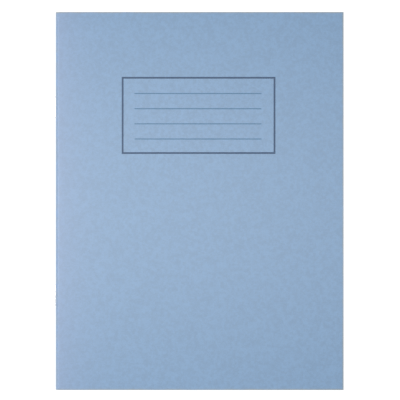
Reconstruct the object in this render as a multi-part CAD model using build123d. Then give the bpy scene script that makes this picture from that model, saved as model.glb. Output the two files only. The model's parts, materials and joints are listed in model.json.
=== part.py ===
"""Stapled exercise book: a folded card cover, folded sheets nested inside it, and two wire staples.

The book lies shut on its back cover: front cover up (+Z), head of the page at +Y, spine at -X.
Every fold is bent round one spine axis parallel to Y, so each sheet wraps the one inside it.
"""

import os

from build123d import *

# Cover and paper
COVER_HEIGHT = 229.0  # head to tail, along the fold
COVER_WIDTH = 174.5  # back of the fold to the fore edge
CARD_THICKNESS = 0.28
SHEET_COUNT = 16
PAPER_THICKNESS = 0.10
SHEET_GAP = 0.02  # air between neighbouring sheets, and between the paper and the card
FOLD_LAND = 1.0  # straight run on each side of the bend that stays with the fold

# Staples
WIRE_DIAMETER = 0.50
WIRE_ROOM = 0.05  # between the wire and the paper or card that it lies on
STAPLE_CROWN = 13.0  # between the centre lines of the two legs
STAPLE_SPACING = 114.0  # between the middles of the two crowns
CROWN_BED = 0.18  # how deep the crown is pressed into the card
CLINCH_GAP = 3.0  # between the two tips turned in over the centre spread
HOLE_CLEARANCE = 0.03  # on each side of the wire where it pierces a fold or beds in the card

# Radii about the spine axis, from the wire outwards
WIRE_SEAT = WIRE_DIAMETER / 2 + WIRE_ROOM  # middle of the wire to what it lies on
HOLE_SIDE = WIRE_DIAMETER + 2 * HOLE_CLEARANCE
SHEET_PITCH = PAPER_THICKNESS + SHEET_GAP
CARD_INSIDE = WIRE_SEAT + SHEET_COUNT * SHEET_PITCH
CARD_OUTSIDE = CARD_INSIDE + CARD_THICKNESS
CROWN_FLOOR = CARD_OUTSIDE - CROWN_BED
CROWN_REACH = CROWN_FLOOR + WIRE_SEAT  # axis to the middle of the crown's wire

# The spine axis, placed so that the origin is under the middle of the shut book
FORE_EDGE = COVER_WIDTH - CARD_OUTSIDE  # axis to the trimmed edge
AXIS_X = (CROWN_REACH + WIRE_DIAMETER / 2 - FORE_EDGE) / 2
AXIS_Z = CARD_OUTSIDE
SPINE_AXIS = Pos(AXIS_X, 0, AXIS_Z)

STAPLE_NAMES = ("head", "tail")
STAPLE_CENTRES = (STAPLE_SPACING / 2, -STAPLE_SPACING / 2)
BEHIND = (Align.MAX, Align.CENTER, Align.CENTER)  # a cut that runs back from its place, towards -X


def folded_section(inside, thickness):
    """Face across the fold: a half ring round the axis, with a straight panel on each side of it."""
    outside = inside + thickness
    outline = [
        Line((FORE_EDGE, outside), (0, outside)),
        CenterArc((0, 0), outside, 90, 180),
        Line((0, -outside), (FORE_EDGE, -outside)),
        Line((FORE_EDGE, -outside), (FORE_EDGE, -inside)),
        Line((FORE_EDGE, -inside), (0, -inside)),
        CenterArc((0, 0), inside, 270, -180),
        Line((0, inside), (FORE_EDGE, inside)),
        Line((FORE_EDGE, inside), (FORE_EDGE, outside)),
    ]
    return Plane.XZ * make_face(outline)


def leg_holes():
    """Square pierced holes along X, one for each staple leg, from behind the spine to the axis."""
    depth = CARD_OUTSIDE + WIRE_DIAMETER
    hole = Box(depth, HOLE_SIDE, HOLE_SIDE, align=BEHIND)
    leg_places = [middle + turn * STAPLE_CROWN / 2 for middle in STAPLE_CENTRES for turn in (1, -1)]
    return [Pos(0, y, 0) * hole for y in leg_places]


def crown_beds():
    """Channels pressed into the back of the spine, one under each staple's crown."""
    bed = Box(WIRE_DIAMETER, STAPLE_CROWN + HOLE_SIDE, HOLE_SIDE, align=BEHIND)
    return [Pos(-CROWN_FLOOR, middle, 0) * bed for middle in STAPLE_CENTRES]


def folded_sheet(inside, thickness):
    """One folded sheet, cut beside its bend into a pierced fold, a back panel and a front panel."""
    sheet = extrude(folded_section(inside, thickness), COVER_HEIGHT / 2, both=True)
    beside_bend = Plane.YZ.offset(FOLD_LAND)
    panels = split(sheet, bisect_by=beside_bend, keep=Keep.TOP).solids().sort_by(Axis.Z)
    fold = split(sheet, bisect_by=beside_bend, keep=Keep.BOTTOM) - leg_holes()
    return fold, panels[0], panels[-1]


def staple():
    """Round wire: crown bedded in the spine, legs through the folds, tips clinched on the axis."""
    leg = STAPLE_CROWN / 2
    tip = CLINCH_GAP / 2
    route = [(0, tip), (0, leg), (-CROWN_REACH, leg), (-CROWN_REACH, -leg), (0, -leg), (0, -tip)]
    runs = [Line(start, end) for start, end in zip(route, route[1:])]
    section = Circle(WIRE_DIAMETER / 2)
    rods = [extrude(Plane(run @ 0, z_dir=run % 0) * section, run.length) for run in runs]
    bends = [Pos(x, y) * Sphere(WIRE_DIAMETER / 2) for x, y in route[1:-1]]
    return rods[0].fuse(*rods[1:], *bends)


def save(name, shape):
    """Write one piece, moved from the spine axis to its place in the book."""
    placed = SPINE_AXIS * shape.solid()
    placed.label = name
    export_step(placed, f"parts/{name}.step")


def main():
    os.makedirs("parts", exist_ok=True)

    spine, back, front = folded_sheet(CARD_INSIDE, CARD_THICKNESS)
    save("cover_spine", spine - crown_beds())
    save("back_cover", back)
    save("front_cover", front)

    for number in range(1, SHEET_COUNT + 1):
        inside = CARD_INSIDE - number * SHEET_PITCH
        fold, back, front = folded_sheet(inside, PAPER_THICKNESS)
        save(f"sheet_{number:02d}_fold", fold)
        save(f"sheet_{number:02d}_back_leaf", back)
        save(f"sheet_{number:02d}_front_leaf", front)

    wire = staple()
    for name, middle in zip(STAPLE_NAMES, STAPLE_CENTRES):
        save(f"staple_{name}", Pos(0, middle, 0) * wire)


main()
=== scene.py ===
"""Looks of the stapled exercise book: coloured card cover, printed name panel, ruled sheets, wire staples.

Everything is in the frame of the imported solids, in metres: the book lies shut on its back cover with the
front cover up (+Z), the head of the page at +Y and the spine at -X, and every fold turns on the spine axis.
"""

import json
import math

import bpy
from bpy.props import FloatProperty, FloatVectorProperty, IntProperty, PointerProperty
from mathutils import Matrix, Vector


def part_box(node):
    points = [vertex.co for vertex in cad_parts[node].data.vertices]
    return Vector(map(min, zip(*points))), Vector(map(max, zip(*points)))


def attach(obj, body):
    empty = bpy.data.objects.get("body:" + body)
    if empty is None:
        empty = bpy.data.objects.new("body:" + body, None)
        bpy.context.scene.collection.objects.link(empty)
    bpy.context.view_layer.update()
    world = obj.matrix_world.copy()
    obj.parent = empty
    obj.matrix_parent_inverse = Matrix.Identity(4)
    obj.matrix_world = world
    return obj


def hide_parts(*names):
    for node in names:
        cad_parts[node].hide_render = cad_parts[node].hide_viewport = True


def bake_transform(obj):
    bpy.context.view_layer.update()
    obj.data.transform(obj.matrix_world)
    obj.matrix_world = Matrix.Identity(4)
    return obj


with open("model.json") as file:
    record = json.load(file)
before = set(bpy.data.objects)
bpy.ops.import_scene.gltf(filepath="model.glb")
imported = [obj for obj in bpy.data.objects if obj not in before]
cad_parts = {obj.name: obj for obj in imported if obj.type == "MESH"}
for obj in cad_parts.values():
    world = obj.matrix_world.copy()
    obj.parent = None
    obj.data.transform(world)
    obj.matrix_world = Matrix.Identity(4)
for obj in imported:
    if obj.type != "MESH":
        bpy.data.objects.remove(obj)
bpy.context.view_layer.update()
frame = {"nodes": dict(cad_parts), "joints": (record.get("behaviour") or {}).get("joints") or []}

bl_info = {
    "name": "Exercise book",
    "version": (1, 0, 0),
    "blender": (4, 5, 0),
    "location": "View3D > Sidebar > Exercise book",
    "description": "Dresses a stapled exercise book and sets up its studio",
    "category": "Object",
}

MM = 0.001

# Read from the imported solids
COVER_HINGE = frame["joints"][0]
SPINE_AXIS = Vector(COVER_HINGE["pos_m"])
OPEN_TURN = math.radians(COVER_HINGE["range_deg"][1])
COVER_LOW, COVER_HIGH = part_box("front_cover")
HEAD_Y = COVER_HIGH.y
FORE_EDGE_X = COVER_HIGH.x
COVER_TOP_Z = COVER_HIGH.z
BOOK_HEIGHT = COVER_HIGH.y - COVER_LOW.y
SPINE_BACK_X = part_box("cover_spine")[0].x
FOLD_LAND = COVER_LOW.x - SPINE_AXIS.x
SHEETS = sorted(name.removesuffix("_fold") for name in frame["nodes"] if name.endswith("_fold"))
STAPLES = sorted(name for name in frame["nodes"] if name.startswith("staple"))
STAPLE_LOW, STAPLE_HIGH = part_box("staple_head")
WIRE_DIAMETER = STAPLE_HIGH.z - STAPLE_LOW.z
STAPLE_CROWN = STAPLE_HIGH.y - STAPLE_LOW.y - WIRE_DIAMETER
STAPLE_MIDDLE = (STAPLE_HIGH.y + STAPLE_LOW.y) / 2
CROWN_X = STAPLE_LOW.x + WIRE_DIAMETER / 2
LEAF_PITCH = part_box("sheet_01_front_leaf")[0].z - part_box("sheet_02_front_leaf")[0].z
INNER_LEAF_LOW, INNER_LEAF_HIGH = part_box(f"{SHEETS[-1]}_front_leaf")
PAPER_THICKNESS = INNER_LEAF_HIGH.z - INNER_LEAF_LOW.z

# Bends of the folds
BEND_STEPS = 16  # flats of a half bend
BEND_STEP = math.pi / 2 / BEND_STEPS
BEND_SMOOTH = math.radians(35)  # sharpest edge that is shaded smooth
BEND_CREEP = 0.0005  # share by which a bend is shorter at the spine, so that it tucks in as the book opens
SEAM_RUN = 0.02 * MM  # straight end of each half bend, so that the two halves meet square
BLEND_TILT = math.radians(5)  # slope of the blend that lays an open paper bend closest to a straight line

# The card's bend, divided into stretches on both sides of the staples
CARD_CUTS = (4.5, 9.5, 14.5)  # where its halves are divided, in flats: within a flat, where no edge shows
SEAT_ROOM = math.radians(2)  # angle between the seat of the staples and the card gathered beside it
OUTER_FOLD = f"{SHEETS[0]}_fold"
CARD_ROOM = 0.03 * MM  # taken off the outside of the outer fold, to clear the gathered card
BED_SHARE = 0.98  # width of a crown's bed to that of its leg holes, so that no two cuts share a face

# Staple wire
WIRE_STEPS = 6  # flats of a bend
WIRE_SIDES = 20
WIRE_SMOOTH = math.radians(40)  # sharpest edge that is shaded smooth
TIP_TAPER = 0.55  # share of the wire's width that its cut tips lose
WELD = 0.002 * MM  # rings of the swept wire closer than this are one

# Finishes
FIBRE_ANGLES = (0.3, 1.4, 2.5)  # directions of the sets of fibres that cross each other
FIBRE_SLIMNESS = 0.12  # width of a fibre to its length
PAINTED_SHEEN_SHARE = 0.22  # of the painted sheen colour at the back of the spine
SPINE_RUB = 0.45  # of the rubbed colour where the spine is rubbed most
STRAND_HEIGHT = 0.6  # share of the fibres in the card's bumps; the rest is its tooth
PAPER_FIBRE = 1.1 * MM
TRIM_FACE = 0.02 * MM  # so near to the fore edge, a face is the trimmed edge itself
LEAF_SHADE, RAGGED_SHADE, GAP_SHADOW_SHADE = 0.4, 0.32, 0.4  # what makes up the darkening of a cut edge: each leaf's tone, ragged fibre and painted shadow between leaves
INK_SHARE = 0.85  # of a line's own colour where it is printed
LINE_SOFT = 0.2  # blur at the sides of a printed line, to its width
TAIL_SPACE = 0.75  # bare space at the tail of a page, in line pitches
WHITE = (1.0, 1.0, 1.0, 1.0)

# Floor
FLOOR_HALF = 20.0
FLOOR_DROP = 0.02 * MM  # below the book, so that the floor and the back cover don't share a plane
FLOOR_ROUGHNESS = 0.9

# What settings of one kind share
COLOUR = {"subtype": "COLOR", "size": 3, "min": 0, "max": 1}
LENGTH = {"subtype": "DISTANCE", "unit": "LENGTH"}
SHARE = {"subtype": "FACTOR", "min": 0, "max": 1}
POWER = {"subtype": "POWER", "unit": "POWER", "min": 0}


class CardSettings(bpy.types.PropertyGroup):
    """Coloured card of the cover."""

    colour: FloatVectorProperty(
        name="Card colour",
        description="Dyed fibre of the cover card",
        default=(0.16, 0.321, 0.543),
        **COLOUR,
    )
    worn_colour: FloatVectorProperty(
        name="Rubbed colour",
        description="Card where its cut edges and its spine are rubbed",
        default=(0.26, 0.31, 0.33),
        **COLOUR,
    )
    # Painted sheen: a paler colour beside the fold, in place of the light's sheen there
    painted_sheen_colour: FloatVectorProperty(
        name="Faded colour",
        description="Card where handling has paled it, beside the fold",
        default=(0.44, 0.45, 0.69),
        **COLOUR,
    )
    # How far from the spine the painted sheen dies out
    fade: FloatProperty(
        name="Fade",
        description="How far from the spine the paling dies out",
        default=14 * MM,
        **LENGTH,
    )
    roughness: FloatProperty(
        name="Roughness",
        description="Roughness of the calendered card",
        default=0.4,
        **SHARE,
    )
    gloss: FloatProperty(
        name="Gloss",
        description="Strength of the card's sheen",
        default=1,
        **SHARE,
    )
    tooth: FloatProperty(
        name="Tooth",
        description="Size of the finest bumps in the card",
        default=0.35 * MM,
        **LENGTH,
    )
    mottle: FloatProperty(
        name="Mottle size",
        description="Size of the clumps of fibre in the card",
        default=2 * MM,
        **LENGTH,
    )
    fibre: FloatProperty(
        name="Fibre length",
        description="Length of the fibres that show in the card",
        default=1.6 * MM,
        **LENGTH,
    )
    cloud: FloatProperty(
        name="Cloud size",
        description="Size of the cloudy patches in the card's colour",
        default=7 * MM,
        **LENGTH,
    )
    wear: FloatProperty(
        name="Edge wear",
        description="Width of the rubbed band along the cut edges",
        default=1.2 * MM,
        **LENGTH,
    )


class PanelSettings(bpy.types.PropertyGroup):
    """Printed name panel on the front cover."""

    from_spine: FloatProperty(
        name="From spine",
        description="Spine to the middle of the frame's nearest line",
        default=40.7 * MM,
        **LENGTH,
    )
    from_head: FloatProperty(
        name="From head",
        description="Head of the cover to the middle of the frame's top line",
        default=39.83 * MM,
        **LENGTH,
    )
    width: FloatProperty(
        name="Width",
        description="Between the middles of the frame's upright lines",
        default=92.0 * MM,
        **LENGTH,
    )
    height: FloatProperty(
        name="Height",
        description="Between the middles of the frame's level lines",
        default=45.6 * MM,
        **LENGTH,
    )
    frame_line: FloatProperty(
        name="Frame line",
        description="Width of the frame's lines",
        default=1.1 * MM,
        **LENGTH,
    )
    rule_length: FloatProperty(
        name="Rule length",
        description="Length of the rules to write on",
        default=76.9 * MM,
        **LENGTH,
    )
    rule_inset: FloatProperty(
        name="Rule inset",
        description="Middle of the frame's left line to the start of the rules",
        default=7.2 * MM,
        **LENGTH,
    )
    rule_line: FloatProperty(
        name="Rule line",
        description="Width of the rules to write on",
        default=0.63 * MM,
        **LENGTH,
    )
    rule_pitch: FloatProperty(
        name="Rule pitch",
        description="Between neighbouring rules",
        default=9.18 * MM,
        **LENGTH,
    )
    rule_drop: FloatProperty(
        name="Rule drop",
        description="Middle of the frame's top line to the first rule",
        default=9.56 * MM,
        **LENGTH,
    )
    rules: IntProperty(
        name="Rules",
        description="How many rules the panel has",
        default=4,
        min=1,
    )
    ink_film: FloatProperty(
        name="Ink film",
        description="Thickness of the printed ink",
        default=0.01 * MM,
        **LENGTH,
    )
    frame_ink: FloatVectorProperty(
        name="Frame ink",
        description="Printing ink of the frame",
        default=(0.03, 0.072, 0.15),
        **COLOUR,
    )
    rule_ink: FloatVectorProperty(
        name="Rule ink",
        description="Paler printing ink of the rules",
        default=(0.075, 0.18, 0.31),
        **COLOUR,
    )


class PageSettings(bpy.types.PropertyGroup):
    """Ruled writing paper."""

    paper: FloatVectorProperty(
        name="Paper colour",
        description="Writing paper",
        default=(0.83, 0.83, 0.79),
        **COLOUR,
    )
    cut_edge: FloatVectorProperty(
        name="Cut edge colour",
        description="Trimmed edges of the paper, where dust and shade gather",
        default=(0.5, 0.5, 0.46),
        **COLOUR,
    )
    feint: FloatVectorProperty(
        name="Feint colour",
        description="Ink of the writing lines",
        default=(0.36, 0.5, 0.66),
        **COLOUR,
    )
    margin_ink: FloatVectorProperty(
        name="Margin colour",
        description="Ink of the margin line",
        default=(0.7, 0.24, 0.27),
        **COLOUR,
    )
    pitch: FloatProperty(
        name="Line pitch",
        description="Between neighbouring writing lines",
        default=8 * MM,
        **LENGTH,
    )
    line: FloatProperty(
        name="Line width",
        description="Width of the writing lines and of the margin line",
        default=0.22 * MM,
        **LENGTH,
    )
    head_lines: IntProperty(
        name="Head space",
        description="How many line pitches stay bare at the head of the page",
        default=3,
        min=0,
    )
    margin: FloatProperty(
        name="Margin",
        description="Margin line to the page's left side",
        default=22 * MM,
        **LENGTH,
    )


class StapleSettings(bpy.types.PropertyGroup):
    """Stitching wire."""

    metal: FloatVectorProperty(
        name="Wire colour",
        description="Galvanised stitching wire",
        default=(0.6, 0.6, 0.61),
        **COLOUR,
    )
    clinch_gap: FloatProperty(
        name="Clinch gap",
        description="Between the two tips turned in over the centre spread",
        default=3 * MM,
        **LENGTH,
    )
    bend: FloatProperty(
        name="Bend radius",
        description="Radius of the wire's bends, at the middle of the wire",
        default=0.3 * MM,
        **LENGTH,
    )
    tip: FloatProperty(
        name="Tip length",
        description="Length of the cut, tapering tip",
        default=0.35 * MM,
        **LENGTH,
    )
    hole: FloatProperty(
        name="Hole clearance",
        description="Room round a leg where it pierces a fold",
        default=0.03 * MM,
        **LENGTH,
    )
    bed: FloatProperty(
        name="Crown bed",
        description="How deep a crown is pressed into the card",
        default=0.18 * MM,
        **LENGTH,
    )


class StageSettings(bpy.types.PropertyGroup):
    """Floor, studio light and camera."""

    view_width: FloatProperty(
        name="View width",
        description="Width of the picture at the front cover",
        default=242.3 * MM,
        **LENGTH,
    )
    lens: FloatProperty(
        name="Lens",
        description="Focal length of the camera",
        default=180,
        subtype="DISTANCE_CAMERA",
        unit="CAMERA",
    )
    aim: FloatVectorProperty(
        name="Aim",
        description="Point of the front cover at the middle of the picture",
        default=(0.5 * MM, 0.62 * MM),
        size=2,
        subtype="XYZ",
        unit="LENGTH",
    )
    floor: FloatVectorProperty(
        name="Floor colour",
        description="Plain pale floor",
        default=(0.3, 0.3, 0.3),
        **COLOUR,
    )
    floor_glow: FloatProperty(
        name="Floor glow",
        description="Own light of the floor, which keeps it white up to the book's edges",
        default=0.85,
        min=0,
    )
    key_power: FloatProperty(
        name="Key light",
        description="Power of the soft box on the spine's side",
        default=14.4,
        **POWER,
    )
    side_power: FloatProperty(
        name="Side light",
        description="Power of the low soft box that lights the spine",
        default=1.2,
        **POWER,
    )
    sky: FloatProperty(
        name="Fill light",
        description="Strength of the even light from all round",
        default=0.324,
        min=0,
    )


class BookSettings(bpy.types.PropertyGroup):
    """All the settings of the book and its studio."""

    card: PointerProperty(type=CardSettings)
    panel: PointerProperty(type=PanelSettings)
    page: PointerProperty(type=PageSettings)
    staple: PointerProperty(type=StapleSettings)
    stage: PointerProperty(type=StageSettings)


class Field:
    """A node's output: arithmetic on it adds Math nodes, and node() adds any other node to its tree."""

    def __init__(self, tree, socket=None):
        self.tree = tree
        self.socket = socket

    def node(self, kind, settings=(), inputs=(), output=0):
        """Add a node: its settings first, then the values or links of its sockets, by identifier."""
        made = self.tree.nodes.new(kind)
        for name, value in dict(settings).items():
            setattr(made, name, value)
        sockets = {socket.identifier: socket for socket in made.inputs}
        for name, value in dict(inputs).items():
            for each in value if isinstance(value, list) else [value]:
                if isinstance(each, Field):
                    self.tree.links.new(each.socket, sockets[name])
                else:
                    sockets[name].default_value = each
        if isinstance(output, str):
            output = [socket.identifier for socket in made.outputs].index(output)
        return Field(self.tree, made.outputs[output] if made.outputs else None)

    def math(self, operation, first, second=0.0):
        """Add one Math node on numbers or fields."""
        return self.node("ShaderNodeMath", {"operation": operation}, {"Value": first, "Value_001": second})

    def __add__(self, other):
        return self.math("ADD", self, other)

    def __radd__(self, other):
        return self.math("ADD", other, self)

    def __sub__(self, other):
        return self.math("SUBTRACT", self, other)

    def __rsub__(self, other):
        return self.math("SUBTRACT", other, self)

    def __mul__(self, other):
        return self.math("MULTIPLY", self, other)

    def __rmul__(self, other):
        return self.math("MULTIPLY", other, self)

    def __truediv__(self, other):
        return self.math("DIVIDE", self, other)

    def __lt__(self, other):
        return self.math("LESS_THAN", self, other)

    def __gt__(self, other):
        return self.math("GREATER_THAN", self, other)

    def __abs__(self):
        return self.math("ABSOLUTE", self)

    def least(self, other):
        return self.math("MINIMUM", self, other)

    def floor(self):
        return self.math("FLOOR", self)

    def fraction(self):
        return self.math("FRACT", self)

    def rise(self, low, high):
        """0 below low, 1 above high, smooth between them; with low above high it falls instead."""
        span = {"Value": self, "From Min": low, "From Max": high}
        return self.node("ShaderNodeMapRange", {"interpolation_type": "SMOOTHSTEP"}, span)

    def between(self, none, full):
        """Number none where this one is 0, number full where it is 1."""
        return none + self * (full - none)

    def swing(self, times=1.0):
        """How far a noise is from its middle, so many times over."""
        return (self - 0.5) * times

    def parts(self):
        """The three numbers of a vector."""
        return [self.node("ShaderNodeSeparateXYZ", inputs={"Vector": self}, output=axis) for axis in range(3)]

    def noise(self, size, detail=2.0, roughness=0.5):
        """Noise whose largest shapes have this size, read at a vector."""
        sockets = {"Vector": self, "Scale": 1 / size, "Detail": detail, "Roughness": roughness}
        return self.node("ShaderNodeTexNoise", inputs=sockets)

    def turned(self, angle, scale):
        """A vector turned in the page's plane, then stretched."""
        sockets = {"Vector": self, "Rotation": (0, 0, angle), "Scale": scale}
        return self.node("ShaderNodeMapping", {"vector_type": "TEXTURE"}, sockets)

    def blend(self, none, full):
        """Colour none where this number is 0, colour full where it is 1."""
        sockets = {"Factor_Float": self, "A_Color": none, "B_Color": full}
        return self.node("ShaderNodeMix", {"data_type": "RGBA"}, sockets, output="Result_Color")

    def tint(self, colour, none, full):
        """One colour, at strength none where this number is 0 and at strength full where it is 1."""
        return self.blend(opaque(colour, none), opaque(colour, full))

    def bumps(self, strength, depth):
        """This height as a normal for a shader."""
        return self.node("ShaderNodeBump", inputs={"Strength": strength, "Distance": depth, "Height": self})


def opaque(colour, strength=1.0):
    """A colour for a socket, made brighter or darker."""
    return tuple(min(1.0, part * strength) for part in colour) + (1.0,)


def new_material(name):
    """An empty material, as the start of its shader's expressions."""
    material = bpy.data.materials.new(name)
    material.use_nodes = True
    material.node_tree.nodes.clear()
    return material, Field(material.node_tree)


def surface(shader, sockets):
    """Ends a material in a Principled shader with these sockets."""
    finish = shader.node("ShaderNodeBsdfPrincipled", inputs=sockets)
    shader.node("ShaderNodeOutputMaterial", inputs={"Surface": finish})


def fibres(place, length):
    """Matted fibres: the mean of three sets of long thin noise that cross each other."""
    stretch = (length, length * FIBRE_SLIMNESS, length)
    sets = [place.turned(angle, stretch).noise(size=1, detail=1) for angle in FIBRE_ANGLES]
    return sum(sets) / len(sets)


def card_material(card):
    """Calendered coloured card: cloudy colour, matted fibres, fine tooth, a painted sheen beside the fold,
    rubbed cut edges and spine.
    """
    material, shader = new_material("blue_card")
    place = shader.node("ShaderNodeTexCoord", output="Object")
    x, y, _ = place.parts()
    _, _, facing_up = shader.node("ShaderNodeTexCoord", output="Normal").parts()
    strands = fibres(place, card.fibre)
    tooth = place.noise(card.tooth)
    cloud = place.noise(card.cloud, detail=4, roughness=0.62)
    mottle = place.noise(card.mottle, detail=3, roughness=0.65)
    tone = 0.5 + cloud.swing() + mottle.swing(times=3.4) + strands.swing(times=4) + tooth.swing()
    fresh = tone.tint(card.colour, none=0.91, full=1.09)
    # Painted sheen: the card pales towards the back of the spine, in place of the light's sheen there
    paled = shader.math("EXPONENT", (SPINE_BACK_X - x) / card.fade) * PAINTED_SHEEN_SHARE
    with_painted_sheen = paled.blend(fresh, opaque(card.painted_sheen_colour))

    from_edge = (FORE_EDGE_X - x).least(HEAD_Y - abs(y))
    scuffs = place.noise(size=9 * MM, detail=3).rise(low=0.3, high=0.7).between(none=0.4, full=1)
    on_panel = (abs(facing_up) > 0.5).between(none=0.3, full=1)
    rubs = place.noise(size=5 * MM, detail=4).rise(low=0.25, high=0.65)
    edge_wear = from_edge.rise(low=card.wear, high=0) * scuffs * on_panel
    spine_wear = x.rise(low=SPINE_AXIS.x, high=SPINE_BACK_X) * rubs * SPINE_RUB
    height = strands * STRAND_HEIGHT + tooth * (1 - STRAND_HEIGHT)
    surface(shader, {
        "Base Color": (edge_wear + spine_wear).blend(with_painted_sheen, opaque(card.worn_colour)),
        "Roughness": card.roughness + strands.swing(times=0.2),
        "Specular IOR Level": card.gloss,
        "Normal": height.bumps(strength=0.25, depth=0.05 * MM),
    })
    return material


def ink_material(name, ink):
    """Printing ink that the card's tooth breaks up a little."""
    material, shader = new_material(name)
    place = shader.node("ShaderNodeTexCoord", output="Object")
    cover = place.noise(size=0.5 * MM, detail=3, roughness=0.6).rise(low=0.3, high=0.7)
    surface(shader, {
        "Base Color": cover.tint(ink, none=1.5, full=1),
        "Roughness": cover.between(none=0.5, full=0.4),
    })
    return material


def paper_material(page):
    """White writing paper: fine fibres, feint writing lines, and a margin line on the left of each page."""
    material, shader = new_material("ruled_paper")
    place = shader.node("ShaderNodeTexCoord", output="Object")
    x, y, z = place.parts()
    _, facing_head, facing_up = shader.node("ShaderNodeTexCoord", output="Normal").parts()
    strands = fibres(place, PAPER_FIBRE)
    cloud = place.noise(size=11 * MM, detail=4, roughness=0.6)
    air = LEAF_PITCH - PAPER_THICKNESS
    layer = (abs(z - SPINE_AXIS.z) - (INNER_LEAF_LOW.z - SPINE_AXIS.z) + air / 2) / LEAF_PITCH
    leaf = layer.floor() + (z > SPINE_AXIS.z) * len(SHEETS)
    leaf_tone = leaf.node("ShaderNodeTexWhiteNoise", {"noise_dimensions": "1D"}, {"W": leaf}, output="Value")
    tone = 0.5 + cloud.swing(times=0.6) + strands.swing(times=1.2) + leaf_tone.swing(times=0.35)
    face = tone.tint(page.paper, none=0.95, full=1.04)

    on_page = (abs(facing_head) < 0.5) * (x < FORE_EDGE_X - TRIM_FACE)
    # Painted shadow between the leaves: each cut edge darkens towards the leaf's top and bottom faces
    from_middle = abs(layer.fraction() - 0.5) * LEAF_PITCH
    gap_shadow = from_middle.rise(low=PAPER_THICKNESS * 0.2, high=PAPER_THICKNESS * 0.5)
    ragged = place.noise(size=0.6 * MM, detail=3, roughness=0.7)
    # Cut edges darken with each leaf's own tone, ragged fibre and the painted shadow between leaves
    shade = leaf_tone * LEAF_SHADE + ragged * RAGGED_SHADE + gap_shadow * GAP_SHADOW_SHADE
    bare = (shade * (1 - on_page)).blend(face, opaque(page.cut_edge))

    ink = place.noise(size=0.4 * MM).rise(low=0.3, high=0.6).between(none=0.7, full=1) * on_page * INK_SHARE
    wide, narrow = (page.line * (0.5 + blur) for blur in (LINE_SOFT, -LINE_SOFT))
    down = HEAD_Y - y
    to_line = (0.5 - abs((down / page.pitch).fraction() - 0.5)) * page.pitch
    below_head = down > (page.head_lines - 0.5) * page.pitch
    above_tail = down < BOOK_HEIGHT - page.pitch * TAIL_SPACE
    feint = to_line.rise(low=wide, high=narrow) * below_head * above_tail * ink
    right_page = facing_up > 0
    margin_x = right_page.between(none=FORE_EDGE_X - page.margin, full=SPINE_AXIS.x + page.margin)
    margin = abs(x - margin_x).rise(low=wide, high=narrow) * ink
    ruled = feint.blend(bare, opaque(page.feint))
    surface(shader, {
        "Base Color": margin.blend(ruled, opaque(page.margin_ink)),
        "Roughness": strands.between(none=0.57, full=0.87),
        "Normal": strands.bumps(strength=0.2, depth=0.02 * MM),
    })
    return material


def wire_material(staple):
    """Galvanised wire: drawn streaks, dull spots."""
    material, shader = new_material("staple_wire")
    place = shader.node("ShaderNodeTexCoord", output="Object")
    streaks = place.noise(size=0.12 * MM, detail=3)
    spots = place.noise(size=0.8 * MM, detail=4, roughness=0.65).rise(low=0.45, high=0.7)
    surface(shader, {
        "Base Color": spots.tint(staple.metal, none=1.1, full=0.75),
        "Metallic": 1.0,
        "Roughness": spots.between(none=0.28, full=0.53) + streaks.swing(times=0.2),
        "Normal": streaks.bumps(strength=0.15, depth=0.01 * MM),
    })
    return material


def new_tree(name, sizes):
    """A geometry tree with a geometry, a material and these named sizes as inputs."""
    tree = bpy.data.node_groups.new(name, "GeometryNodeTree")
    tree.interface.new_socket("Geometry", in_out="OUTPUT", socket_type="NodeSocketGeometry")
    tree.interface.new_socket("Geometry", in_out="INPUT", socket_type="NodeSocketGeometry")
    tree.interface.new_socket("Material", in_out="INPUT", socket_type="NodeSocketMaterial")
    for size, value in sizes.items():
        kind = "NodeSocketInt" if isinstance(value, int) else "NodeSocketFloat"
        tree.interface.new_socket(size, in_out="INPUT", socket_type=kind)
    entry = tree.nodes.new("NodeGroupInput")
    inputs = {socket.name: Field(tree, socket) for socket in entry.outputs if socket.name}
    return tree, inputs


def end_tree(made, inputs):
    """Realises what the tree made, gives it its material and hands it out."""
    plain = made.node("GeometryNodeRealizeInstances", inputs={"Geometry": made})
    dressed = {"Geometry": plain, "Material": inputs["Material"]}
    finished = plain.node("GeometryNodeSetMaterial", inputs=dressed)
    finished.node("NodeGroupOutput", inputs={finished.tree.interface.items_tree[0].identifier: finished})


def vector(x, y, z):
    """A vector of numbers and fields, in the tree of the first field among them."""
    first = next(part for part in (x, y, z) if isinstance(part, Field))
    return first.node("ShaderNodeCombineXYZ", inputs={"X": x, "Y": y, "Z": z})


def block(x, y, z):
    """A block of this size, about the middle of the frame."""
    size = vector(x, y, z)
    return size.node("GeometryNodeMeshCube", inputs={"Size": size})


def row(count, start, step, instance):
    """Copies of a shape on a line of points."""
    points = {"Count": count, "Start Location": start, "Offset": step}
    line = start.node("GeometryNodeMeshLine", inputs=points)
    return line.node("GeometryNodeInstanceOnPoints", inputs={"Points": line, "Instance": instance})


def smooth_bends(mesh, limit):
    """Smooth shading over bends up to this angle, sharp edges beyond it."""
    faces = {"Geometry": mesh, "Shade Smooth": True}
    smooth = mesh.node("GeometryNodeSetShadeSmooth", {"domain": "FACE"}, faces)
    angle = mesh.node("GeometryNodeInputMeshEdgeAngle")
    edges = {"Geometry": smooth, "Selection": angle > limit, "Shade Smooth": False}
    return mesh.node("GeometryNodeSetShadeSmooth", {"domain": "EDGE"}, edges)


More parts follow.
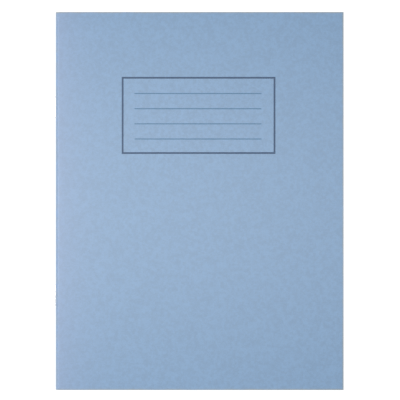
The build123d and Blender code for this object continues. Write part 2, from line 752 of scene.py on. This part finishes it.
def build(name, tree, route, sizes, material):
    """One plain mesh object from a geometry tree, run on a route of points."""
    mesh = bpy.data.meshes.new(name)
    mesh.from_pydata(route, [(i, i + 1) for i in range(len(route) - 1)], [])
    piece = bpy.data.objects.new(name, mesh)
    bpy.context.scene.collection.objects.link(piece)
    modifier = piece.modifiers.new("Geometry", "NODES")
    modifier.node_group = tree
    values = {"Material": material, **sizes}
    for item in tree.interface.items_tree:
        if item.in_out == "INPUT" and item.name in values:
            modifier[item.identifier] = values[item.name]
    depsgraph = bpy.context.evaluated_depsgraph_get()
    made = bpy.data.meshes.new_from_object(piece.evaluated_get(depsgraph), depsgraph=depsgraph)
    piece.modifiers.clear()
    piece.data = made
    made.name = name
    bpy.data.meshes.remove(mesh)
    if not made.polygons:
        raise RuntimeError(f"{name} has no faces")
    return piece


def fold_tree(sizes):
    """Stretch of half a fold: swept round the bend, pierced for the staple legs, bedded for the crowns."""
    tree, inputs = new_tree("folded_strip", sizes)
    start = inputs["Geometry"]
    route = start.node("GeometryNodeMeshToCurve", inputs={"Mesh": start})
    bend = {"Curve": route, "Count": inputs["Steps"], "Radius": inputs["Radius"]}
    path = route.node("GeometryNodeFilletCurve", {"mode": "POLY"}, bend)
    stretch = {"Curve": path, "Start": inputs["From"], "End": inputs["To"]}
    path = path.node("GeometryNodeTrimCurve", {"mode": "FACTOR"}, stretch)
    rectangle = {"Width": inputs["Height"], "Height": inputs["Thickness"]}
    section = path.node("GeometryNodeCurvePrimitiveQuadrilateral", {"mode": "RECTANGLE"}, rectangle)
    along = inputs["From"] + path.node("GeometryNodeSplineParameter") * (inputs["To"] - inputs["From"])
    sweep = {"Curve": path, "Profile Curve": section, "Scale": 1 - along * BEND_CREEP, "Fill Caps": True}
    strip = path.node("GeometryNodeCurveToMesh", inputs=sweep)

    hole, crown, spacing = inputs["Hole"], inputs["Crown"], inputs["Spacing"]
    depth, lead = inputs["Depth"], inputs["Lead"]
    first_leg = vector(SPINE_AXIS.x + lead - depth / 2, crown / -2, SPINE_AXIS.z)
    legs = row(2, first_leg, vector(0, crown, 0), block(depth, hole, inputs["Slot"]))
    bed = block(depth, crown, hole * BED_SHARE)
    behind = vector(SPINE_AXIS.x - inputs["Bed floor"] - depth / 2, 0, SPINE_AXIS.z)
    bed = bed.node("GeometryNodeTransform", inputs={"Geometry": bed, "Translation": behind})
    cutting = {"operation": "DIFFERENCE", "solver": "MANIFOLD"}
    for cut in (legs, bed):  # one after the other, because cutters that overlap leave stray shells
        cuts = row(2, vector(0, spacing / -2, 0), vector(0, spacing, 0), cut)
        cuts = cuts.node("GeometryNodeRealizeInstances", inputs={"Geometry": cuts})
        strip = strip.node("GeometryNodeMeshBoolean", cutting, {"Mesh 1": strip, "Mesh 2": cuts})
    strip = strip.node("GeometryNodeTriangulate", inputs={"Mesh": strip})
    end_tree(smooth_bends(strip, BEND_SMOOTH), inputs)
    return tree


def wire_tree(sizes):
    """Round wire along a route, with rounded bends and tapering cut tips."""
    tree, inputs = new_tree("bent_wire", sizes)
    start = inputs["Geometry"]
    route = start.node("GeometryNodeMeshToCurve", inputs={"Mesh": start})
    bend = {"Curve": route, "Count": inputs["Steps"], "Radius": inputs["Bend"], "Limit Radius": True}
    path = route.node("GeometryNodeFilletCurve", {"mode": "POLY"}, bend)
    circle = {"Resolution": inputs["Sides"], "Radius": inputs["Diameter"] / 2}
    section = path.node("GeometryNodeCurvePrimitiveCircle", {"mode": "RADIUS"}, circle)
    tips = path.node("GeometryNodeCurveEndpointSelection", inputs={"Start Size": 1, "End Size": 1})
    sweep = {"Curve": path, "Profile Curve": section, "Scale": 1 - tips * TIP_TAPER, "Fill Caps": True}
    wire = path.node("GeometryNodeCurveToMesh", inputs=sweep)
    wire = path.node("GeometryNodeMergeByDistance", inputs={"Geometry": wire, "Distance": WELD})
    end_tree(smooth_bends(wire, WIRE_SMOOTH), inputs)
    return tree


def frame_tree(sizes):
    """Rectangular frame of four printed lines that abut at its corners."""
    tree, inputs = new_tree("panel_frame", sizes)
    film, line = inputs["Film"], inputs["Line"]
    width, height = inputs["Width"], inputs["Height"]
    centre_x, centre_y, level = inputs["Centre X"], inputs["Centre Y"], inputs["Level"]
    upright = block(line, height + line, film)
    uprights = row(2, vector(centre_x - width / 2, centre_y, level), vector(width, 0, 0), upright)
    flat = block(width - line, line, film)
    flats = row(2, vector(centre_x, centre_y - height / 2, level), vector(0, height, 0), flat)
    end_tree(film.node("GeometryNodeJoinGeometry", inputs={"Geometry": [uprights, flats]}), inputs)
    return tree


def rules_tree(sizes):
    """Column of printed rules to write on, from the first rule down."""
    tree, inputs = new_tree("panel_rules", sizes)
    rule = block(inputs["Length"], inputs["Line"], inputs["Film"])
    first = vector(inputs["Centre X"], inputs["First Y"], inputs["Level"])
    end_tree(row(inputs["Count"], first, vector(0, inputs["Pitch"] * -1, 0), rule), inputs)
    return tree


def bend_point(radius, turned):
    """Point of a back half bend, from the spine axis, so far round its quarter turn."""
    inner = radius - SEAM_RUN
    return Vector((-SEAM_RUN - inner * math.sin(turned), 0, -SEAM_RUN - inner * math.cos(turned)))


def past_panel(point):
    """Angle round the spine axis from the back panel's side to a point of the back half bend."""
    return math.atan2(-point.x, -point.z)


def straight_ends(radius):
    """Ends of a blend, from the spine axis, that lays a back half bend under the axis in the open book."""
    beside = Vector((0, 0, -radius))
    across = Vector((-math.cos(BLEND_TILT), 0, math.sin(BLEND_TILT)))
    return beside, beside + across * 2 * radius * (math.cos(BLEND_TILT) + math.sin(BLEND_TILT))


def gathered_ends(radius, first, last):
    """Ends of a blend that gathers a stretch of the card's back half beside the seat in the open book."""
    seat_edge = past_panel(bend_point(radius, CARD_CUTS[-1] * BEND_STEP))
    gathered = OPEN_TURN / 2 - seat_edge + SEAT_ROOM
    points, places = [], []
    for turned in (first, last):
        points.append(bend_point(radius, turned))
        share = (past_panel(points[-1]) + gathered) / OPEN_TURN
        places.append(0.5 - math.sin(math.asin(1 - 2 * share) / 3))  # where a smooth blend reaches this share
    course = (points[1] - points[0]) / (places[1] - places[0])
    return points[0] - course * places[0], points[0] + course * (1 - places[0])


def fold_sizes(outside, thickness, paper, staple):
    """Sizes of half a fold, for its tree.

    A paper fold is slit round its bend at each leg, so that the wire stays clear of it when the book is open.
    The card has round-the-wire holes only, because its outside shows.
    """
    hole = WIRE_DIAMETER + 2 * staple.hole
    to_back = SPINE_AXIS.x - SPINE_BACK_X
    return {
        "From": 0.0,
        "To": 1.0,
        "Height": BOOK_HEIGHT,
        "Thickness": thickness,
        "Radius": outside - thickness / 2 - SEAM_RUN,
        "Steps": BEND_STEPS,
        "Hole": hole,
        "Slot": 2 * outside + hole if paper else hole,
        "Lead": hole / 2 if paper else 0.0,
        "Depth": to_back + WIRE_DIAMETER,
        "Crown": STAPLE_CROWN,
        "Spacing": 2 * STAPLE_MIDDLE,
        "Bed floor": to_back - staple.bed,
    }


def fold_halves(node, lower, material, slot, context):
    """Replaces a fold by two halves that bend between the panels on its two sides.

    The card's halves are divided into stretches; the stretch at the seam, beside the staples, is attached to
    the spine.
    """
    paper = slot == "paper"
    room = CARD_ROOM if node == OUTER_FOLD else 0.0
    low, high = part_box(node)
    outside = (high.z - low.z) / 2 - room
    panel_low, panel_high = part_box(lower)
    thickness = panel_high.z - panel_low.z - room
    radius = outside - thickness / 2
    sizes = fold_sizes(outside, thickness, paper, context.scene.exercise_book.staple)
    tree = bpy.data.node_groups.get("folded_strip") or fold_tree(sizes)

    cuts = () if paper else CARD_CUTS
    land = FOLD_LAND + SEAM_RUN
    flat = 2 * (radius - SEAM_RUN) * math.sin(BEND_STEP / 2)
    length = land + BEND_STEPS * flat + SEAM_RUN
    shares = [0.0, *((land + cut * flat) / length for cut in cuts), 1.0]
    turns = [0.0, *(cut * BEND_STEP for cut in cuts)]
    for side, name in ((-1, "back"), (1, "front")):
        panel_z = SPINE_AXIS.z + side * radius
        route = [
            (SPINE_AXIS.x + FOLD_LAND, 0, panel_z),
            (SPINE_AXIS.x - radius, 0, panel_z),
            (SPINE_AXIS.x - radius, 0, SPINE_AXIS.z),
        ]
        for number in range(len(shares) - 1):
            piece_name = f"{node}_{name}_{number + 1}" if cuts else f"{node}_{name}"
            sizes["From"], sizes["To"] = shares[number : number + 2]
            strip = build(piece_name, tree, route, sizes, material)
            if cuts and number == len(cuts):
                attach(strip, "spine")
            else:
                ends = gathered_ends(outside, *turns[number : number + 2]) if cuts else straight_ends(radius)
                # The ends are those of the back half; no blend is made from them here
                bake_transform(strip)
            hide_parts(node)


def floor_sheet(stage, scene):
    """Wide pale floor under the book, with a glow of its own."""
    mesh = bpy.data.meshes.new("floor")
    corners = ((-1, -1), (1, -1), (1, 1), (-1, 1))
    mesh.from_pydata([(x * FLOOR_HALF, y * FLOOR_HALF, -FLOOR_DROP) for x, y in corners], [], [(0, 1, 2, 3)])
    floor = bpy.data.objects.new("floor", mesh)
    scene.collection.objects.link(floor)
    material, shader = new_material("pale_floor")
    surface(shader, {
        "Base Color": opaque(stage.floor),
        "Roughness": FLOOR_ROUGHNESS,
        "Emission Color": WHITE,
        "Emission Strength": stage.floor_glow,
    })
    mesh.materials.append(material)


def soft_box(scene, name, power, size, place, target):
    """Rectangular light that faces its target, and that the camera doesn't see."""
    light = bpy.data.lights.new(name, "AREA")
    light.shape = "RECTANGLE"
    light.size, light.size_y = size
    light.energy = power
    lamp = bpy.data.objects.new(name, light)
    scene.collection.objects.link(lamp)
    lamp.location = place
    lamp.rotation_mode = "QUATERNION"
    lamp.rotation_quaternion = (Vector(target) - Vector(place)).to_track_quat("-Z", "Y")
    lamp.visible_camera = False


def fill_light(stage, scene):
    """Even white light from all round."""
    world = bpy.data.worlds.new("studio")
    world.use_nodes = True
    background = world.node_tree.nodes["Background"].inputs
    background["Color"].default_value = WHITE
    background["Strength"].default_value = stage.sky
    scene.world = world


def square_camera(stage, scene):
    """Camera straight above the front cover, as far off as its lens needs for the width of the view."""
    camera = bpy.data.cameras.new("camera")
    camera.lens = stage.lens
    distance = stage.view_width * camera.lens / camera.sensor_width
    eye = bpy.data.objects.new("camera", camera)
    eye.location = (*stage.aim, COVER_TOP_Z + distance)
    scene.collection.objects.link(eye)
    scene.camera = eye


class EXERCISE_BOOK_OT_cover(bpy.types.Operator):
    """Card finish of the cover, and a spine that bends between its two panels"""

    bl_idname = "exercise_book.cover"
    bl_label = "Card cover"

    def execute(self, context):
        card = card_material(context.scene.exercise_book.card)
        for node in ("front_cover", "back_cover"):
            frame["nodes"][node].material_slots[0].material = card
        fold_halves("cover_spine", "back_cover", card, "card", context)
        return {"FINISHED"}


class EXERCISE_BOOK_OT_name_panel(bpy.types.Operator):
    """Printed frame and rules on the front cover"""

    bl_idname = "exercise_book.name_panel"
    bl_label = "Name panel"

    def execute(self, context):
        panel = context.scene.exercise_book.panel
        left_x = SPINE_BACK_X + panel.from_spine
        top_y = HEAD_Y - panel.from_head
        shared = {"Film": panel.ink_film, "Level": COVER_TOP_Z + panel.ink_film / 2}
        frame_sizes = {
            **shared,
            "Centre X": left_x + panel.width / 2,
            "Line": panel.frame_line,
            "Width": panel.width,
            "Height": panel.height,
            "Centre Y": top_y - panel.height / 2,
        }
        rule_sizes = {
            **shared,
            "Centre X": left_x + panel.rule_inset + panel.rule_length / 2,
            "Line": panel.rule_line,
            "Length": panel.rule_length,
            "Pitch": panel.rule_pitch,
            "Count": panel.rules,
            "First Y": top_y - panel.rule_drop,
        }
        frame_ink = ink_material("frame_ink", panel.frame_ink)
        rule_ink = ink_material("rule_ink", panel.rule_ink)
        border = build("name_panel_frame", frame_tree(frame_sizes), [], frame_sizes, frame_ink)
        rules = build("name_panel_rules", rules_tree(rule_sizes), [], rule_sizes, rule_ink)
        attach(border, "front_cover")
        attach(rules, "front_cover")
        return {"FINISHED"}


class EXERCISE_BOOK_OT_sheets(bpy.types.Operator):
    """Ruled paper on every leaf, and folds that bend between the two leaves of each sheet"""

    bl_idname = "exercise_book.sheets"
    bl_label = "Ruled sheets"

    def execute(self, context):
        paper = paper_material(context.scene.exercise_book.page)
        for sheet in SHEETS:
            back, front = f"{sheet}_back_leaf", f"{sheet}_front_leaf"
            for leaf in (back, front):
                frame["nodes"][leaf].material_slots[0].material = paper
            fold_halves(f"{sheet}_fold", back, paper, "paper", context)
        return {"FINISHED"}


class EXERCISE_BOOK_OT_staples(bpy.types.Operator):
    """Bent wire staples through the fold, clinched over the centre spread"""

    bl_idname = "exercise_book.staples"
    bl_label = "Staples"

    def execute(self, context):
        staple = context.scene.exercise_book.staple
        wire = wire_material(staple)
        sizes = {"Diameter": WIRE_DIAMETER, "Bend": staple.bend, "Steps": WIRE_STEPS, "Sides": WIRE_SIDES}
        tree = wire_tree(sizes)
        half_crown = STAPLE_CROWN / 2
        tip = staple.clinch_gap / 2
        half = [(SPINE_AXIS.x, y) for y in (tip, tip + staple.tip, half_crown)] + [(CROWN_X, half_crown)]
        outline = half + [(x, -y) for x, y in reversed(half)]
        for node in STAPLES:
            low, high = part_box(node)
            middle = (low.y + high.y) / 2
            route = [(x, middle + y, SPINE_AXIS.z) for x, y in outline]
            piece = build(f"{node}_wire", tree, route, sizes, wire)
            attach(piece, "spine")
            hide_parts(node)
        return {"FINISHED"}


class EXERCISE_BOOK_OT_stage(bpy.types.Operator):
    """Plain pale floor, soft light and a camera square to the front cover"""

    bl_idname = "exercise_book.stage"
    bl_label = "Studio"

    def execute(self, context):
        scene = context.scene
        stage = scene.exercise_book.stage
        floor_sheet(stage, scene)
        soft_box(
            scene,
            "key_light",
            stage.key_power,
            size=(0.145, 2.0),
            place=(-0.533, 0, 1.302),
            target=(0, 0, 0),
        )
        soft_box(
            scene,
            "side_light",
            stage.side_power,
            size=(0.8, 0.14),
            place=(-0.8, 0, 0.075),
            target=(-0.09, 0, 0),
        )
        fill_light(stage, scene)
        square_camera(stage, scene)
        scene.view_settings.view_transform = "Standard"
        return {"FINISHED"}


class EXERCISE_BOOK_PT_sidebar(bpy.types.Panel):
    """Settings and steps of the exercise book"""

    bl_label = "Exercise book"
    bl_space_type = "VIEW_3D"
    bl_region_type = "UI"
    bl_category = "Exercise book"

    def draw(self, context):
        book = context.scene.exercise_book
        for operator, settings in zip(OPERATORS, (book.card, book.panel, book.page, book.staple, book.stage)):
            box = self.layout.box()
            box.operator(operator.bl_idname)
            for name in settings.__annotations__:
                box.prop(settings, name)


OPERATORS = (
    EXERCISE_BOOK_OT_cover,
    EXERCISE_BOOK_OT_name_panel,
    EXERCISE_BOOK_OT_sheets,
    EXERCISE_BOOK_OT_staples,
    EXERCISE_BOOK_OT_stage,
)
CLASSES = (
    CardSettings,
    PanelSettings,
    PageSettings,
    StapleSettings,
    StageSettings,
    BookSettings,
    *OPERATORS,
    EXERCISE_BOOK_PT_sidebar,
)


def register():
    for each in CLASSES:
        bpy.utils.register_class(each)
    bpy.types.Scene.exercise_book = PointerProperty(type=BookSettings)


def unregister():
    del bpy.types.Scene.exercise_book
    for each in reversed(CLASSES):
        bpy.utils.unregister_class(each)


def main():
    register()
    bpy.ops.exercise_book.cover()
    bpy.ops.exercise_book.name_panel()
    bpy.ops.exercise_book.sheets()
    bpy.ops.exercise_book.staples()
    bpy.ops.exercise_book.stage()


if __name__ == "__main__":
    main()
